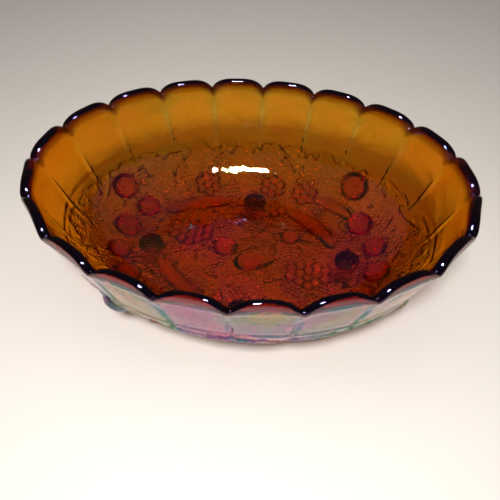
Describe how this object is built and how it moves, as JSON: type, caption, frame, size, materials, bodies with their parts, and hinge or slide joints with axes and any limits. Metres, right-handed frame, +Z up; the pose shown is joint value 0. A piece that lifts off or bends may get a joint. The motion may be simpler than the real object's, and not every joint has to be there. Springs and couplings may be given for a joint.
{
  "type": "oval footed art glass bowl",
  "caption": "Oval amber art glass bowl on pegged feet, with a panelled wall, a scalloped dark rim and moulded fruit, leaves and grapes on the outside.",
  "frame": {"origin": "on the table, under the middle of the bowl", "axes": "+X along the long axis of the oval, +Y across it, +Z up"},
  "size_m": [0.302, 0.2154, 0.114],
  "materials": {
    "wall_glass": "smooth transparent amber glass with a faint iridescent sheen",
    "rim_glass": "fire-polished glass, nearly black where the band is thick",
    "foot_glass": "ribbed glass, deep red through its thickness",
    "fruit_glass": "glossy pressed amber glass with an iridescent sheen",
    "leaf_glass": "pressed amber glass with raised veins"
  },
  "bodies": {
    "root": {"bowl_body": "wall_glass", "panel_wall": "wall_glass", "scalloped_rim": "rim_glass", "foot_right": "foot_glass", "foot_back": "foot_glass", "foot_left": "foot_glass", "foot_front": "foot_glass", "centre_apple": "fruit_glass", "centre_pear": "fruit_glass", "centre_peach": "fruit_glass", "apples_back_right": "fruit_glass", "apples_front_left": "fruit_glass", "plums_back_left": "fruit_glass", "plums_front_right": "fruit_glass", "banana_back_right": "fruit_glass", "banana_front_left": "fruit_glass", "banana_back_left": "fruit_glass", "banana_front_right": "fruit_glass", "banana_outer_right": "fruit_glass", "banana_outer_left": "fruit_glass", "grapes_front_right": "fruit_glass", "grapes_back_left": "fruit_glass", "grapes_back_right": "fruit_glass", "grapes_front_left": "fruit_glass", "leaves_back_right": "leaf_glass", "leaves_front_left": "leaf_glass", "leaves_back_left": "leaf_glass", "leaves_front_right": "leaf_glass", "leaves_centre": "leaf_glass"}
  },
  "joints": []
}
